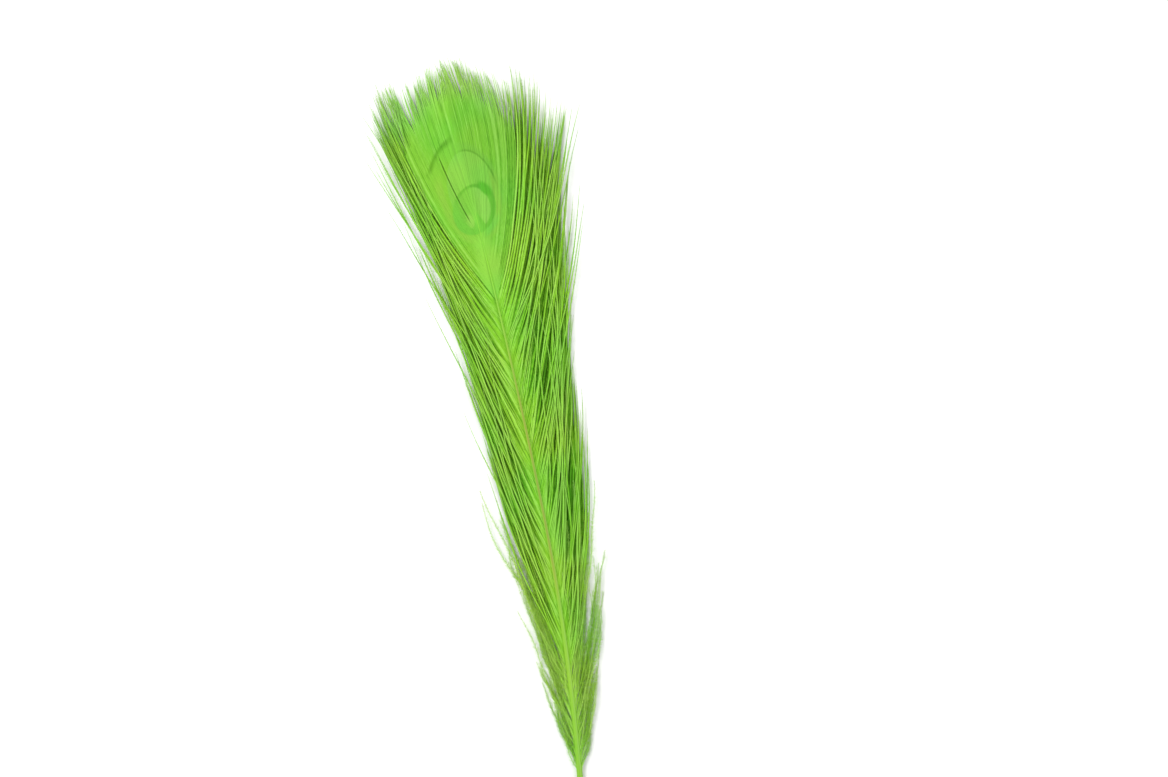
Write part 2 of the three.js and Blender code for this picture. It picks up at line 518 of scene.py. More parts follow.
print("dye patches:", len(patches.nodes), "nodes")

# %% [markdown]
# # Barb dye: the shade of one barb among its neighbours
#
# Neighbouring barbs differ a little, and each one has lighter and darker stretches. "tone" gives the
# first, and a noise that is drawn out along the barbs gives the second. Together they pick a shade
# between a deep, a middle and a bright green. Tips are thin and paler, so they fade to a pale dye. The
# group also puts out the shade itself, and a height for the fine steps that the barbules make.

# %% Barb dye group
STREAKS_ACROSS, STREAKS_UP, STREAKS_APART = 1.3, 0.11, 40.0
STREAK_STRENGTH = 0.9
PALE_FROM = 0.72
barb_dye, dye_in, dye_out = new_group(
    "barb dye",
    {"Deep": "Color", "Middle": "Color", "Bright": "Color", "Pale": "Color", "Paling": "Float"},
    {"Color": "Color", "Shade": "Float", "Height": "Float"},
)
vane_place = stored(barb_dye, "vane").outputs["Vector"]
tone = stored(barb_dye, "tone").outputs["Fac"]
split = add(barb_dye, "SeparateXYZ", {"Vector": vane_place}).outputs
drawn_out = add(barb_dye, "CombineXYZ", {
    "X": product(barb_dye, split["X"], STREAKS_ACROSS),
    "Y": product(barb_dye, split["Y"], STREAKS_UP),
    "Z": product(barb_dye, tone, STREAKS_APART),
}).outputs["Vector"]
streaks = add(barb_dye, "TexNoise", {"Vector": drawn_out, "Scale": 1.0, "Detail": 3.0}).outputs["Fac"]
streaked = calc(barb_dye, "MULTIPLY_ADD", streaks, STREAK_STRENGTH, -STREAK_STRENGTH / 2)
shade = calc(barb_dye, "ADD", streaked, tone, clamp=True)
lower = blend(barb_dye, fade(barb_dye, shade, 0.0, 0.5), dye_in["Deep"], dye_in["Middle"])
upper = blend(barb_dye, fade(barb_dye, shade, 0.5, 1.0), lower, dye_in["Bright"])
paling = product(barb_dye, fade(barb_dye, split["Z"], PALE_FROM, 1.0), dye_in["Paling"])
tipped = blend(barb_dye, paling, upper, dye_in["Pale"])
fine = add(barb_dye, "TexNoise", {"Vector": vane_place, "Scale": 2.5, "Detail": 2.0}).outputs["Fac"]
barb_dye.links.new(tipped, dye_out["Color"])
barb_dye.links.new(shade, dye_out["Shade"])
barb_dye.links.new(fine, dye_out["Height"])
print("barb dye:", len(barb_dye.nodes), "nodes")

# %% [markdown]
# # The herl, fluff and horn
#
# Herl and fluff are the same stuff with other dyes: keratin filaments, matt, with a faint sheen where
# light grazes the barbules. The shaft is the same keratin in one solid piece, so it is waxy: smoother
# and glossier. The bleach left some brown in it, which shows as a tan streak along its middle half way
# up, and as a tan tinge at the quill's cut end.

# %% Barb materials
BARB_BUMP, HORN_BUMP = 0.00006, 0.00005


def barb_material(name, deep, middle, bright, pale, paling):
    """Dyed barbs. Only the dyes differ from one kind of barb to the next."""
    material, tree, sockets = new_material(
        name, Roughness=0.7, Specular_IOR_Level=0.15, Sheen_Weight=0.1, Sheen_Roughness=0.4,
        Sheen_Tint=dye(170, 236, 90))
    dyed = group_node(tree, barb_dye, Deep=deep, Middle=middle, Bright=bright, Pale=pale, Paling=paling)
    surface(tree, sockets, dyed["Color"], dyed["Height"], 0.4, BARB_BUMP)
    return material


herl_dye = barb_material("lime herl", dye(92, 162, 20), dye(134, 200, 44), dye(158, 218, 80),
                         dye(180, 228, 116), 0.35)
fluff_dye = barb_material("lime fluff", dye(126, 194, 44), dye(162, 222, 70), dye(188, 238, 104),
                          dye(204, 242, 146), 0.6)
print("made", herl_dye.name, "and", fluff_dye.name)

# %% Horn material
horn, tree, sockets = new_material("dyed horn", Roughness=0.4, Specular_IOR_Level=0.45, Coat_Weight=0.15,
                                   Coat_Roughness=0.3)
right, up = on_vane(tree)
grain_place = add(tree, "CombineXYZ", {"X": product(tree, right, 3.0), "Y": product(tree, up, 0.08)})
grain_noise = {"Vector": grain_place.outputs["Vector"], "Scale": 1.0, "Detail": 4.0}
grain = add(tree, "TexNoise", grain_noise).outputs["Fac"]
lime_horn = blend(tree, grain, dye(124, 182, 34), dye(148, 200, 52))
tan_horn = blend(tree, grain, dye(130, 144, 36), dye(146, 168, 52))
towards_quill = fade(tree, up, 60.0, 10.0)
colour = blend(tree, product(tree, towards_quill, 0.6), lime_horn, tan_horn)
half_way_up = product(tree, fade(tree, up, 110.0, 160.0), fade(tree, up, 280.0, 220.0))
middle_streak = fade(tree, calc(tree, "ABSOLUTE", right), 0.7, 0.2)
colour = blend(tree, product(tree, middle_streak, half_way_up), colour, tan_horn)
hidden_in_eye = fade(tree, up, 272.0, 300.0)
colour = blend(tree, hidden_in_eye, colour, dye(128, 204, 40))
surface(tree, sockets, colour, grain, 0.25, HORN_BUMP)
print("made", horn.name)

# %% [markdown]
# # The eye's pattern
#
# A bleached eye still shows its rings, as shades of one green. They are nested ovals that have to stay
# put on the feather, so each is an ellipse in the vane's own millimetres. From the outside in: a dark
# olive arc at the upper left, a yellowish rim on both sides, a light oval with a thin dark outline, a
# darker ring with a dark blot at the upper right, and a pale heart with a notch in its lower edge. A
# small step from barb to barb feathers every edge, because each barb changes colour at its own place.

# %% Oval group
oval, oval_in, oval_out = new_group(
    "oval",
    {"Place": "Vector", "Middle": "Vector", "Radii": "Vector", "Edge": "Float"},
    {"Inside": "Float"},
)
from_middle = add(oval, "VectorMath", {0: oval_in["Place"], 1: oval_in["Middle"]}, operation="SUBTRACT")
scaled = add(oval, "VectorMath", {0: from_middle.outputs[0], 1: oval_in["Radii"]}, operation="DIVIDE")
distance = add(oval, "VectorMath", {0: scaled.outputs[0]}, operation="LENGTH").outputs["Value"]
inner_edge = calc(oval, "SUBTRACT", 1.0, oval_in["Edge"])
outer_edge = calc(oval, "ADD", 1.0, oval_in["Edge"])
oval.links.new(fade(oval, distance, outer_edge, inner_edge), oval_out["Inside"])
print("oval:", len(oval.nodes), "nodes")

# %% Eye material
RAGGEDNESS = 0.5
eye_dye, tree, sockets = new_material(
    "lime eye", Roughness=0.62, Specular_IOR_Level=0.2, Sheen_Weight=0.1, Sheen_Roughness=0.35,
    Sheen_Tint=dye(170, 236, 90))
dyed = group_node(tree, barb_dye, Deep=dye(84, 154, 22), Middle=dye(124, 196, 50),
                  Bright=dye(148, 214, 80), Pale=dye(190, 236, 130), Paling=0.55)
right, up = on_vane(tree)
ragged = calc(tree, "MULTIPLY_ADD", stored(tree, "tone").outputs["Fac"], RAGGEDNESS, -RAGGEDNESS / 2)
ragged_up = calc(tree, "ADD", up, ragged)
eye_place = add(tree, "CombineXYZ", {"X": right, "Y": ragged_up}).outputs["Vector"]
print("made", eye_dye.name)

# %% The eye's ovals, by their middle and their half width and height in mm
def in_oval(middle, radii, edge, place=eye_place):
    """Inside an oval of the eye, with an edge that is soft over a share of its size."""
    settings = {"Place": place, "Middle": (*middle, 0.0), "Radii": (*radii, 1.0), "Edge": edge}
    return group_node(tree, oval, **settings)["Inside"]


def between_ovals(middle, outer, inner, edge):
    """In the band between two ovals that share a middle."""
    return calc(tree, "SUBTRACT", in_oval(middle, outer, edge), in_oval(middle, inner, edge), clamp=True)


def in_leaning_oval(middle, radii, edge, across_per_up=0.0, up_per_across=0.0):
    """Inside an oval that is slanted about its middle."""
    from_left = calc(tree, "SUBTRACT", right, middle[0])
    from_below = calc(tree, "SUBTRACT", ragged_up, middle[1])
    slanted = add(tree, "CombineXYZ", {
        "X": calc(tree, "MULTIPLY_ADD", from_below, across_per_up, from_left),
        "Y": calc(tree, "MULTIPLY_ADD", from_left, up_per_across, from_below),
    })
    return in_oval((0.0, 0.0), radii, edge, slanted.outputs["Vector"])


def in_corner(mask, across_fade, up_fade):
    """Keeps a mask in one corner of the eye, by a fade across the feather and one up it."""
    return product(tree, mask, product(tree, fade(tree, *across_fade), fade(tree, *up_fade)))


beside_shaft = calc(tree, "ABSOLUTE", right)
whole_eye = in_oval((-1.2, 335.0), (17.0, 25.5), 0.07)
light_oval = in_oval((1.4, 335.0), (12.0, 20.5), 0.015)
outline = in_corner(between_ovals((1.4, 335.0), (12.8, 21.3), (12.0, 20.5), 0.03),
                    (right, -3.0, 4.0), (up, 333.0, 343.0))
rim = in_corner(between_ovals((-0.5, 338.0), (15.6, 30.0), (12.0, 27.0), 0.06),
                (beside_shaft, 3.0, 9.0), (up, 348.0, 338.0))
olive_arc = in_corner(between_ovals((9.3, 324.1), (32.9, 43.0), (30.2, 39.5), 0.025),
                      (right, 0.0, -7.0), (up, 345.0, 351.0))
ring = in_leaning_oval((0.0, 325.9), (11.2, 12.2), 0.045, up_per_across=-0.25)
glow = in_corner(in_leaning_oval((0.8, 325.0), (12.6, 14.0), 0.08, up_per_across=-0.25),
                 (right, 0.0, 5.0), (up, 324.0, 317.0))
blot = in_leaning_oval((7.7, 335.2), (2.5, 3.9), 0.35, across_per_up=0.4)
heart = in_leaning_oval((0.4, 326.6), (7.9, 10.3), 0.06, up_per_across=-0.12)
left_lobe = in_oval((-3.2, 320.6), (1.8, 3.4), 0.4)
print("the ovals take", len(tree.nodes), "nodes")

# %% The heart's notch, and the stretch below the ring
NOTCH_RIGHT, NOTCH_TOP, NOTCH_SLOPE = 0.7, 324.2, -2.2
NOTCH_EDGE = 0.9
from_notch = calc(tree, "ABSOLUTE", calc(tree, "SUBTRACT", right, NOTCH_RIGHT))
notch_line = calc(tree, "MULTIPLY_ADD", from_notch, NOTCH_SLOPE, NOTCH_TOP)
over_notch = fade(tree, calc(tree, "SUBTRACT", up, notch_line), -NOTCH_EDGE, NOTCH_EDGE)
pale_heart = product(tree, heart, over_notch)
below_ring = fade(tree, up, 318.0, 308.0)
near_shaft = fade(tree, fade(tree, beside_shaft, 2.0, 8.0), 1.0, 0.0)
print("the notch's top is", NOTCH_TOP, "mm up the feather")

# %% The eye's colours, laid one over the other
band = blend(tree, fade(tree, right, -14.0, 12.0), dye(130, 202, 54), dye(124, 196, 62))
band = blend(tree, below_ring, band, dye(144, 210, 70))
light = blend(tree, fade(tree, up, 350.0, 322.0), dye(134, 204, 70), dye(127, 203, 66))
darker = blend(tree, fade(tree, right, -4.0, 8.0), dye(118, 199, 60), dye(110, 192, 52))
darker = blend(tree, fade(tree, up, 329.0, 337.0), darker, dye(104, 184, 48))
palest = blend(tree, fade(tree, right, -1.0, 4.5), dye(122, 198, 62), dye(141, 209, 80))
layers = (
    (product(tree, below_ring, near_shaft), 1.0, dye(140, 208, 68)),
    (olive_arc, 0.85, dye(86, 152, 16)),
    (whole_eye, 1.0, band),
    (light_oval, 1.0, light),
    (rim, 0.65, dye(144, 202, 66)),
    (outline, 0.85, dye(98, 168, 40)),
    (glow, 0.55, dye(120, 212, 74)),
    (ring, 1.0, darker),
    (pale_heart, 1.0, palest),
    (left_lobe, 0.65, dye(152, 214, 84)),
    (blot, 1.0, dye(98, 186, 42)),
)
colour = dyed["Color"]
for mask, strength, layer in layers:
    colour = blend(tree, product(tree, mask, strength), colour, layer)
barb_shade = fade(tree, dyed["Shade"], 0.0, 1.0, 0.84, 1.04)
colour = blend(tree, whole_eye, colour, blend(tree, 1.0, colour, barb_shade, "MULTIPLY"))
surface(tree, sockets, colour, dyed["Height"], 0.3, BARB_BUMP)
print("made", eye_dye.name, "with", len(tree.nodes), "nodes")

# %% [markdown]
# # The herl
#
# The long loose barbs of each row. They leave the shaft evenly spaced, so there they show as fine
# hatching, and within a centimetre or two they cling together in strands, which sway as one. Four in
# nine of them lie under the others. These keep out of the strands, are wide, and go without barbules,
# because they only show in the gaps between the strands. They are barbs of the feather lying lower, but
# their dark tones are painted shade, which makes the gaps look deep. Where the row splays most they
# also keep straighter, or slits would open. A few stray barbs cross over the rest. Those next to the
# eye lie almost as close as the eye's own barbs, so that the eye has no hard border. The row is made
# whole and then cut in two at a barb, so that neither mesh is too big.

# %% Where barbs are rooted, and how high they lie
ROOTED_AT, ROOTED_UP = 0.8, 0.5
ROLLING = 0.25


def roots_between(first, last, spacing, unevenness):
    count = round((last - first) / spacing)
    return first + (np.arange(count) + 0.5 + rng.uniform(-unevenness, unevenness, count)) * spacing


def grow_at_side(side, roots, lengths, steps, swerve=0.0):
    """Barbs that start a little inside the shaft's side rather than on its middle line."""
    inside = ROOTED_AT * (shaft_radius(roots) - SHAFT_RADIUS[-1])
    return grow(side, roots, lengths, steps, swerve) + np.array([side, 0]) * inside[:, None, None]


def root_heights(roots):
    """Barbs are rooted along the shaft's upper sides."""
    middle = np.interp(roots, SHAFT_AT, SHAFT_HEIGHT)
    return (middle + ROOTED_UP * shaft_radius(roots))[:, None]


def heights(roots, layers, points, rise):
    """From the shaft's height at the root to each barb's own layer, with slow rises and falls."""
    t = np.linspace(0, 1, points)
    at_root = root_heights(roots)
    turns = t * rng.uniform(1, 3, (len(roots), 1)) + rng.random((len(roots), 1))
    rolling = ROLLING * np.sin(2 * np.pi * turns)
    settled = smooth(t, 0, rise)
    return at_root * (1 - settled) + (layers[:, None] + rolling) * settled


print("the lowest barbs are rooted", round(root_heights([BARE_QUILL]).item(), 2), "mm above the floor")

# %% Herl
HERL_SPACING, HERL_UNEVENNESS = 0.95, 0.2
CLOSER_FROM, CLOSER_SPACING = 235.0, 0.62
HERL_STEPS = 24
HERL_LENGTHS = (0.9, 1.03)
HERL_BARBULE = 0.5
STRAND_SIZES, LOCK_SIZES = (3, 6), (12, 24)
STRAND_BIAS, LOCK_BIAS = 1.8, 0.9
STRAND_PULL, LOCK_PULL, LOOSE_PULL = 0.75, 0.4, 0.25
LOOSE_SHARE = 0.1
UNDER_OF_NINE = (1, 3, 5, 7)
# The under barbs' dark tones are painted shade in the gaps between the strands.
UNDER_LAYERS, UNDER_WIDTH, UNDER_PAINTED_SHADE_TONES = (0.6, 1.2), 0.68, (0.08, 0.5)
STRAIGHTER, STRAIGHTER_FROM, STRAIGHTER_TO = 0.7, (244, 250), (270, 262)
STRAND_LAYERS, STRAND_WIDTH, STRAND_TONE = (1.4, 3.0), 0.3, 0.73
STRAND_TONES_APART, BARB_TONES_APART = 0.17, 0.07
STRAY_SHARES, STRAY_LAYER, STRAY_WIDTH = {LEFT: 0.15, RIGHT: 0.22}, 3.3, 0.22
STRAY_LEAN, STRAY_SPREAD, STRAY_OUT = -2, 10, 8
LAYER_BY_EYE = 2.3
LOWEST_HERL = 0.35
herl_barbules = {"pitch": 0.62, "sweep": 38.0, "spread": 9.0, "lift": 0.2, "root": 0.24, "depth": 0.05}


def make_herl(side, side_name):
    roots = np.concatenate([roots_between(FLUFF_END, CLOSER_FROM, HERL_SPACING, HERL_UNEVENNESS),
                            roots_between(CLOSER_FROM, HERL_END, CLOSER_SPACING, HERL_UNEVENNESS)])
    count, points = len(roots), HERL_STEPS + 1
    barbs = np.arange(count)
    t = np.linspace(0, 1, points)
    along_steps = np.linspace(0, 1, HERL_STEPS)
    lengths = usual_length(roots) * rng.uniform(*HERL_LENGTHS, count)
    by_eye = smooth(HERL_END - roots, 30, 4)
    lengths *= 1 + 0.04 * by_eye
    strand = lock_leaders(count, *STRAND_SIZES)
    lock = lock_leaders(count, *LOCK_SIZES)
    under = np.isin(barbs % 9, UNDER_OF_NINE)
    stray = ~under & (rng.random(count) < STRAY_SHARES[side] * (1 - by_eye))

    bias = rng.normal(0, LOCK_BIAS, count)[lock] + rng.normal(0, STRAND_BIAS, count)[strand]
    in_strand = waves(count, HERL_STEPS, degrees=2.6, rate=1.2)[strand]
    together = (bias * (1 - 0.9 * by_eye))[:, None] + in_strand * (1 - 0.7 * by_eye[:, None])
    alone = waves(count, HERL_STEPS, degrees=1.3, rate=1.8)
    calm = together + alone
    furthest_in = np.interp(roots, [190, 240], [-16, -4])
    astray = np.clip(rng.normal(STRAY_LEAN, STRAY_SPREAD, count), furthest_in, STRAY_OUT)
    straying = np.where(stray, astray, 0)[:, None] * along_steps
    steadied = STRAIGHTER * (smooth(roots, *STRAIGHTER_FROM) * smooth(roots, *STRAIGHTER_TO))[:, None]
    own_way = np.where(under[:, None], -together - steadied * alone, 0) + straying
    led = grow_at_side(side, roots, lengths, HERL_STEPS, calm)
    grown = grow_at_side(side, roots, lengths, HERL_STEPS, calm + own_way)
    loose = stray | under | (rng.random(count) < LOOSE_SHARE)
    below_eye = smooth(HERL_END - roots, 15, 60)[:, None]
    to_strand = STRAND_PULL * smooth(t, 0.03, 0.25) * pull(led, barbs, strand)
    to_lock = LOCK_PULL * below_eye * smooth(t, 0.5, 1.0) * pull(led, strand, lock)
    shift = np.where(loose, LOOSE_PULL, 1.0)[:, None] * (to_strand + to_lock)

    layers = np.where(under, rng.uniform(*UNDER_LAYERS, count), rng.uniform(*STRAND_LAYERS, count)[strand])
    layers = np.where(under, layers, layers * (1 - by_eye) + LAYER_BY_EYE * by_eye)
    layers = np.where(stray, STRAY_LAYER, layers + rng.uniform(-0.15, 0.15, count))
    height = np.maximum(heights(roots, layers, points, rise=0.35), LOWEST_HERL)
    widest = np.where(under, UNDER_WIDTH, np.where(stray, STRAY_WIDTH, STRAND_WIDTH + 0.1 * by_eye))
    strand_tone = rng.normal(STRAND_TONE, STRAND_TONES_APART, count)[strand]
    strand_tone = strand_tone + rng.normal(0, BARB_TONES_APART, count) + 0.15 * stray
    fringe = HERL_BARBULE * (1 + 0.5 * by_eye[:, None]) * smooth(t, -0.1, 0.1)
    look = {
        "grown": grow_at_side(side, roots, lengths, HERL_STEPS),
        "half_width": 0.06 + widest[:, None] * smooth(t, -0.25, 0.15) * (1 - smooth(t, 0.6, 1)),
        "half_height": np.tile(0.08 - 0.05 * t, (count, 1)),
        "roll": rng.normal(0, 12, count),
        # Under barbs take dark tones: painted shade in the gaps between the strands.
        "tone": np.clip(np.where(under, rng.uniform(*UNDER_PAINTED_SHADE_TONES, count), strand_tone), 0, 1),
        "barbule": np.where(under[:, None], 0, fringe * (1 - 0.55 * smooth(t, 0.8, 1))),
    }
    for part_name, chosen in (("low", barbs < count // 2), ("high", barbs >= count // 2)):
        cut = {key: value[chosen] for key, value in look.items()} | {"barbules": herl_barbules}
        name = f"herl_{side_name}_{part_name}"
        piece = make_row(name, grown[chosen], shift[chosen], height[chosen], cut, herl_dye)
        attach(piece, "root")
        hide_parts("herl_" + side_name)


for side, side_name in SIDES:
    make_herl(side, side_name)

# %% [markdown]
# # The eye
#
# Here the barbs lie edge to edge, each one's edge a little under the next, so each is as wide as the
# space that it has. Above the oval they loosen, grow barbules, and gather into the pointed tufts of
# the brush. How loose a point is depends on where it grew: the middle of the vane stays closed longest.
# One barb on the left has come unhooked and sunk, and its neighbours part over it. Its darkest tone
# is painted shade, so it shows as a thin dark split through the oval.

# %% The eye's barbs
EYE_SPACING, EYE_UNEVENNESS = 0.55, 0.05
LAST_ROOT = SHAFT_LENGTH + 0.2
EYE_STEPS = 40
EYE_LENGTHS, TUFT_LENGTHS = (0.93, 1.02), (0.975, 1.0)
SIDE_LENGTHS = {
    LEFT: ([HERL_END, 300.0, 320.0], [1.04, 0.96, 0.985]),
    RIGHT: ([HERL_END, 300.0, 308.0], [0.99, 0.985, 1.035]),
}
TUFT_SIZES, WISP_SIZES = (9, 22), (2, 4)
TUFT_LEAN, BRUSH_LEAN = 2.8, 5
TUFT_PULL, WISP_PULL = 0.16, 0.5
TUFT_LAYERS = (0.9, 2.9)
VANE_HEIGHT, VANE_CROWN = 2.75, 0.0014
CLOSED_SHARE, CLOSED_WIDTHS = 0.74, (0.16, 0.46)
BRUSH_CORE, BRUSH_BARBULE = 0.24, 0.5
EYE_TONE, EYE_TONE_SPREAD = 0.55, 0.15
SPLIT_ROOT, SPLIT_WIDTH, SPLIT_DEPTH, SUNK_WIDER = 309.7, 0.45, 0.6, 0.15
SPLIT_BOTTOM, SPLIT_TOP = (318, 323), (350, 357)
EYE_ROLL = 7.0
brush_barbules = {"pitch": 0.5, "sweep": 32.0, "spread": 9.0, "lift": 0.2, "root": 0.17, "depth": 0.04}


def looseness(line):
    """From 0 where the vane is closed to 1 in the brush, by where on the feather a point grew."""
    top = 382 - 13 * ((line[..., 0] - 1) / 20) ** 2
    return smooth(line[..., 1] - top, -4, 14)


def make_eye(side, side_name):
    roots = roots_between(HERL_END, LAST_ROOT, EYE_SPACING, EYE_UNEVENNESS)
    count, points = len(roots), EYE_STEPS + 1
    t = np.linspace(0, 1, points)
    barbs = np.arange(count)
    tuft = lock_leaders(count, *TUFT_SIZES)
    wisp = lock_leaders(count, *WISP_SIZES)
    lengths = usual_length(roots) * rng.uniform(*EYE_LENGTHS, count)
    lengths *= rng.uniform(*TUFT_LENGTHS, count)[tuft]
    lengths *= np.interp(roots, *SIDE_LENGTHS[side])
    plain = grow_at_side(side, roots, lengths, EYE_STEPS)
    loose = looseness(plain)
    loose_steps = (loose[:, 1:] + loose[:, :-1]) / 2
    leaning = rng.normal(0, TUFT_LEAN, count)[tuft] + rng.normal(0, BRUSH_LEAN, count)
    swerve = (waves(count, EYE_STEPS, degrees=5, rate=2.0) + leaning[:, None]) * loose_steps
    grown = grow_at_side(side, roots, lengths, EYE_STEPS, swerve)
    shift = loose * (WISP_PULL * pull(grown, barbs, wisp) + TUFT_PULL * pull(grown, wisp, tuft))

    beside = (roots - SPLIT_ROOT)[:, None] / EYE_SPACING
    sunk_and_painted_dark = (side == LEFT) & (np.abs(beside[:, 0]) < 0.5)
    in_split = smooth(plain[..., 1], *SPLIT_BOTTOM) * (1 - smooth(plain[..., 1], *SPLIT_TOP))
    opened = np.sign(beside) * np.exp(-np.abs(beside) / 4) * (np.abs(beside) > 0.5)
    shift += (side == LEFT) * SPLIT_WIDTH / 2 * opened * in_split

    layers = rng.uniform(*TUFT_LAYERS, count)[tuft] + rng.uniform(-0.3, 0.3, count)
    uneven = rng.uniform(-0.05, 0.05, (count, 1))
    closed_height = VANE_HEIGHT - VANE_CROWN * plain[..., 0] ** 2 + uneven
    rise = smooth(t, 0, 0.1)
    vane_height = root_heights(roots) * (1 - rise) + closed_height * rise
    sinking = sunk_and_painted_dark[:, None] * in_split
    height = vane_height * (1 - loose) + layers[:, None] * loose - SPLIT_DEPTH * sinking
    to_next = plain[np.minimum(barbs + 1, count - 1)] - plain[np.minimum(barbs, count - 2)]
    space = np.abs((to_next * across(plain)).sum(axis=-1))
    closed_width = np.clip(CLOSED_SHARE * space, *CLOSED_WIDTHS) + SUNK_WIDER * sinking
    core = BRUSH_CORE * (1 - 0.75 * smooth(t, 0.87, 1))
    outermost = smooth(roots, 300, 286)
    tone = rng.normal(EYE_TONE, EYE_TONE_SPREAD, count)
    tone = tone + (0.06 + 0.18 * outermost) * rng.normal(0, 1, count)[wisp]
    look = {
        "grown": plain,
        "half_width": closed_width * (1 - loose) + core * loose,
        "half_height": np.tile(0.06 - 0.03 * t, (count, 1)),
        "roll": np.full(count, EYE_ROLL * side),
        # The sunk barb gets the darkest tone: painted shade in the split.
        "tone": np.where(sunk_and_painted_dark, 0.0, np.clip(tone, 0, 1)),
        "barbule": BRUSH_BARBULE * loose * (1 - 0.6 * smooth(t, 0.85, 1)),
        "barbules": brush_barbules,
    }
    piece = make_row("eye_barbs_" + side_name, grown, shift, height, look, eye_dye)
    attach(piece, "root")
    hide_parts("eye_" + side_name)


for side, side_name in SIDES:
    make_eye(side, side_name)

# %% [markdown]
# # The fluff
#
# At the foot the barbs are short and downy. Their cores are thin and wavy, and their barbules are
# several times as long as those of the herl and stand out on all sides, so they catch light as a haze.

# %% Fluff
FLUFF_SPACING, FLUFF_UNEVENNESS = 1.2, 0.3
FLUFF_STEPS = 22
FLUFF_LENGTHS = (0.8, 1.02)
FLUFF_LEAN = 4
FLUFF_LAYERS, LOWEST_FLUFF = (0.6, 2.6), 0.3
FLUFF_BARBULE = 2.0
fluff_barbules = {"pitch": 0.42, "sweep": 40.0, "spread": 14.0, "lift": 0.35, "root": 0.15, "depth": 0.05}


def make_fluff(side, side_name):
    roots = roots_between(BARE_QUILL, FLUFF_END, FLUFF_SPACING, FLUFF_UNEVENNESS)
    count, points = len(roots), FLUFF_STEPS + 1
    t = np.linspace(0, 1, points)
    lengths = usual_length(roots) * rng.uniform(*FLUFF_LENGTHS, count)
    swerve = waves(count, FLUFF_STEPS, degrees=9.0, rate=2.2) + rng.normal(0, FLUFF_LEAN, (count, 1))
    grown = grow_at_side(side, roots, lengths, FLUFF_STEPS, swerve)
    layers = rng.uniform(*FLUFF_LAYERS, count)
    height = np.maximum(heights(roots, layers, points, rise=0.3), LOWEST_FLUFF)
    fringe = FLUFF_BARBULE * smooth(t, -0.05, 0.2) * (1 - 0.6 * smooth(t, 0.6, 1))
    look = {
        "grown": grow_at_side(side, roots, lengths, FLUFF_STEPS),
        "half_width": np.tile(0.16 - 0.12 * t, (count, 1)),
        "half_height": np.tile(0.07 - 0.04 * t, (count, 1)),
        "roll": rng.normal(0, 30, count),
        "tone": rng.uniform(0.3, 1.0, count),
        "barbule": np.tile(fringe, (count, 1)),
        "barbules": fluff_barbules,
    }
    no_shift = np.zeros((count, points))
    piece = make_row("fluff_" + side_name + "_barbs", grown, no_shift, height, look, fluff_dye)
    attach(piece, "root")
    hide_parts("fluff_" + side_name)


for side, side_name in SIDES:
    make_fluff(side, side_name)

# %% [markdown]
# # The shaft
#
# The quill and the rachis are one tapering piece of horn, so one mesh is enough, and it is modelled by
# hand. It starts as a disc at the cut end of the quill. The disc is extruded up the feather step by
# step, each step moved by the sway and scaled to the shaft's thickness there. The cut end gets a rim
# and a hollow, and above the quill the back is pressed in to the groove that a shaft has.

# %% Shaft, extruded up the feather
SHAFT_SIDES = 20
SHAFT_FLATTENING = 0.94
shaft_stations = [0, 4, 12, 24, 36, 48, *range(60, 320, 10), 319, 323, SHAFT_LENGTH]


def shaft_middle(station):
    """The middle of the shaft's section at a place along it, in metres."""
    height = np.interp(station, SHAFT_AT, SHAFT_HEIGHT)
    return (PLACE + np.array([sway(station), station, height])) * MM


bpy.ops.object.select_all(action="DESELECT")
bpy.ops.mesh.primitive_circle_add(vertices=SHAFT_SIDES, radius=QUILL_RADIUS * MM, fill_type="NGON",
                                  location=shaft_middle(0), rotation=(math.pi / 2, 0, 0))
shaft = bpy.context.object
shaft.name = "quill_and_rachis"
bpy.ops.object.mode_set(mode="EDIT")
bpy.ops.mesh.select_mode(type="FACE")
bpy.ops.mesh.select_all(action="SELECT")
bpy.ops.transform.resize(value=(1, 1, SHAFT_FLATTENING), center_override=shaft_middle(0))
for low, high in zip(shaft_stations, shaft_stations[1:]):
    move = shaft_middle(high) - shaft_middle(low)
    bpy.ops.mesh.extrude_region_move(TRANSFORM_OT_translate={"value": move})
    thinner = shaft_radius(high) / shaft_radius(low)
    bpy.ops.transform.resize(value=(thinner, 1, thinner), center_override=shaft_middle(high))
bpy.ops.mesh.select_all(action="SELECT")
bpy.ops.mesh.normals_make_consistent(inside=False)
bpy.ops.object.mode_set(mode="OBJECT")
print("the shaft has", len(shaft.data.vertices), "points and", len(shaft.data.polygons), "faces")

# %% Shaft, its cut end and its groove
CUT_RIM = 0.4
HOLLOW_DEPTH = 6.0
GROOVE_DEPTH = 0.45
GROOVE_FROM = 5
NEAR = 0.1


def select_in_edit(of_face=None, of_vertex=None):
    """Selects only the faces or vertices that a test picks, in edit mode."""
    bpy.ops.mesh.select_all(action="DESELECT")
    mesh = bmesh.from_edit_mesh(shaft.data)
    for element in (mesh.faces if of_face else mesh.verts):
        element.select_set((of_face or of_vertex)(element))
    mesh.select_flush_mode()
    bmesh.update_edit_mesh(shaft.data)


def station_of(vertex):
    """How far up the feather a vertex is, in mm from the cut end."""
    return (shaft.matrix_world @ vertex.co).y / MM - PLACE[1]


def at_back(vertex, station):
    """Whether a vertex is the lowest one of the section at a station."""
    near_back = shaft_middle(station)[2] - 0.9 * SHAFT_FLATTENING * shaft_radius(station) * MM
    spot = shaft.matrix_world @ vertex.co
    return abs(station_of(vertex) - station) < NEAR and spot.z < near_back


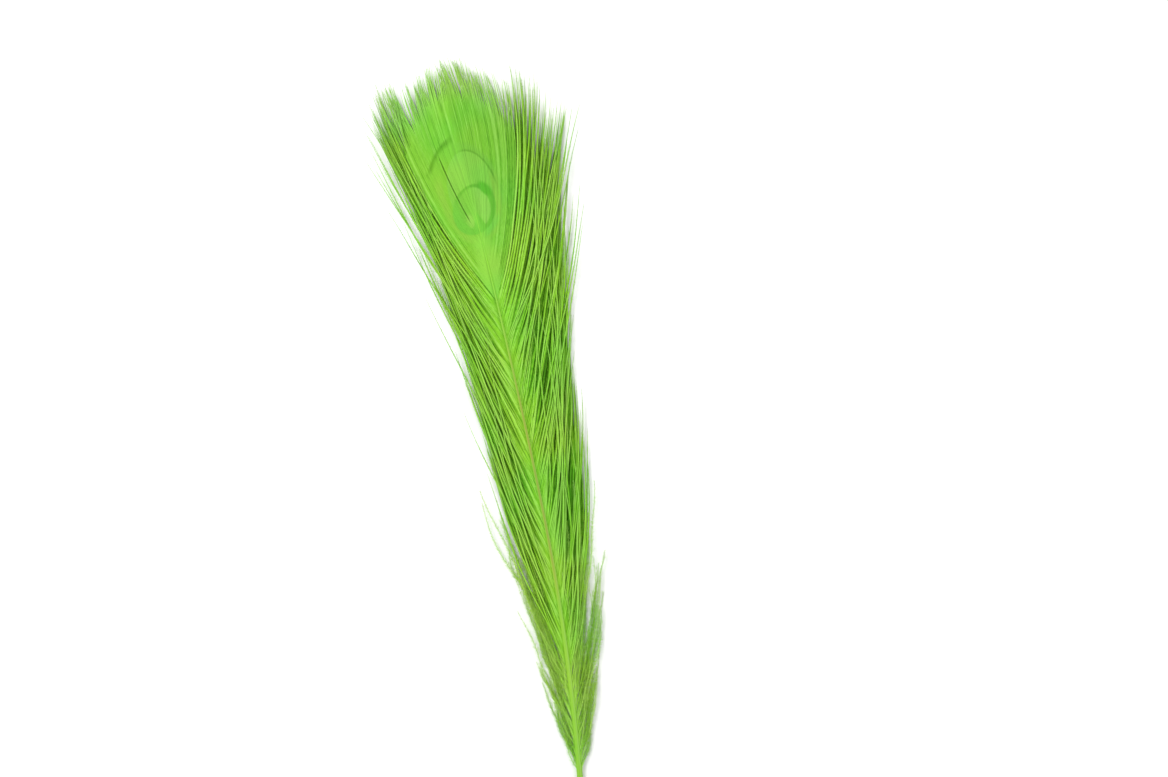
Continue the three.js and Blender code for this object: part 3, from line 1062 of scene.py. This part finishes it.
bpy.ops.object.mode_set(mode="EDIT")
bpy.ops.mesh.select_mode(type="FACE")
select_in_edit(of_face=lambda face: all(station_of(vertex) < NEAR for vertex in face.verts))
bpy.ops.mesh.inset(thickness=CUT_RIM * MM, depth=0)
bpy.ops.mesh.extrude_region_move(TRANSFORM_OT_translate={"value": (0, HOLLOW_DEPTH * MM, 0)})
bpy.ops.mesh.select_mode(type="VERT")
for station in shaft_stations[GROOVE_FROM:-1]:
    select_in_edit(of_vertex=lambda vertex: at_back(vertex, station))
    pressed = GROOVE_DEPTH * shaft_radius(station) * smooth(station, BARE_QUILL, FLUFF_END)
    bpy.ops.transform.translate(value=(0, 0, pressed * MM))
bpy.ops.object.mode_set(mode="OBJECT")
print("the shaft has", len(shaft.data.vertices), "points with its hollow end")

# %% Shaft, smoothed and put in place
smoothing = shaft.modifiers.new("smoothing", "SUBSURF")
smoothing.levels = 1
smoothing.render_levels = 1
bpy.ops.object.modifier_apply(modifier=smoothing.name)
bpy.ops.object.transform_apply(location=True, rotation=True, scale=True)
bpy.ops.object.shade_smooth_by_angle(angle=math.radians(50))
points = np.empty(len(shaft.data.vertices) * 3)
shaft.data.vertices.foreach_get("co", points)
points = points.reshape(-1, 3) / MM - PLACE
up_shaft = points[:, 1]
aside = (points[:, 0] - sway(up_shaft)) / shaft_radius(up_shaft)
shaft_vane = np.stack([aside, up_shaft, np.zeros_like(aside)], axis=1)
shaft.data.attributes.new("vane", "FLOAT_VECTOR", "POINT").data.foreach_set("vector", shaft_vane.ravel())
shaft.data.materials.append(horn)
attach(shaft, "root")
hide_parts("shaft")
print("the shaft has", len(shaft.data.vertices), "points and is", np.ptp(up_shaft).round(1), "mm long")

# %% [markdown]
# # The floor
#
# A feather weighs almost nothing and can't stand, so it lies on a plain pale floor. The floor is wide
# enough to fill the view from any side, and it is marked as a stage, because it isn't part of the
# feather.

# %% Floor
FLOOR_WIDTH = 6.0
TOOTH_SCALE = 300.0
paper, tree, sockets = new_material("white paper", Roughness=0.85, Specular_IOR_Level=0.2)
place = add(tree, "TexCoord").outputs["Object"]
tooth = add(tree, "TexNoise", {"Vector": place, "Scale": TOOTH_SCALE}).outputs["Fac"]
paper_colour = blend(tree, tooth, dye(243, 243, 242), dye(248, 248, 247))
tree.links.new(paper_colour, sockets["Base Color"])

bpy.ops.object.select_all(action="DESELECT")
bpy.ops.mesh.primitive_plane_add(size=FLOOR_WIDTH, location=(0, 0, 0))
floor = bpy.context.object
floor.name = "floor"
floor.data.materials.append(paper)
floor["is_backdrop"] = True
print("the floor is", FLOOR_WIDTH, "m wide")

# %% [markdown]
# # Light
#
# Soft studio light: a bright sky all round, a large soft lamp at the upper left that gives the strands
# their shading, and a weaker one opposite that keeps their dark sides green.

# %% Light
SKY_STRENGTH = 0.5


def soft_lamp(name, place, width, power):
    bpy.ops.object.light_add(type="AREA", location=place)
    lamp = bpy.context.object
    lamp.name = name
    lamp.data.size = width
    lamp.data.energy = power
    towards_feather = -Vector(place)
    lamp.rotation_euler = towards_feather.to_track_quat("-Z", "Y").to_euler()


soft_lamp("key lamp", (-0.9, 0.8, 1.3), 0.9, 26.0)
soft_lamp("fill lamp", (1.1, -0.5, 1.2), 1.2, 10.0)
world = bpy.data.worlds.new("studio")
bpy.context.scene.world = world
world.use_nodes = True
sky = world.node_tree.nodes["Background"].inputs
sky["Color"].default_value = (1.0, 1.0, 1.0, 1.0)
sky["Strength"].default_value = SKY_STRENGTH
bpy.context.scene.view_settings.view_transform = "Standard"
print("two soft lamps and an even sky")

# %% [markdown]
# # Camera
#
# The camera looks straight down. It is turned a little, so that the feather leans to the left, and
# placed so that the quill runs out of the lower edge of the view and the eye is at the upper left.

# %% Camera
VIEW_MIDDLE = (31.7, 227.7)
VIEW_TURN = -11.0
VIEW_WIDTH = 584.0
LENS, SENSOR = 85.0, 36.0

distance = VIEW_WIDTH * MM * LENS / SENSOR
view_spot = (PLACE + np.array([*VIEW_MIDDLE, 0])) * MM
bpy.ops.object.camera_add(location=(view_spot[0], view_spot[1], distance),
                          rotation=(0, 0, math.radians(VIEW_TURN)))
camera = bpy.context.object
camera.data.lens = LENS
camera.data.sensor_width = SENSOR
bpy.context.scene.camera = camera
print("the camera is", round(distance, 3), "m above the floor")

# %% [markdown]
# Print the size and finish
#
# The barbs may stand only a little outside the frame's solids. Both boxes are printed, so that the
# two can be compared after each run.

# %% Size and finish
visual_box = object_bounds()
boxes = {"cad": [list(corner) for corner in cad_box], "visual": [list(corner) for corner in visual_box]}
for name, (low_corner, high_corner) in boxes.items():
    print(name, "mm:", [round(1000 * value, 1) for value in (*low_corner, *high_corner)])
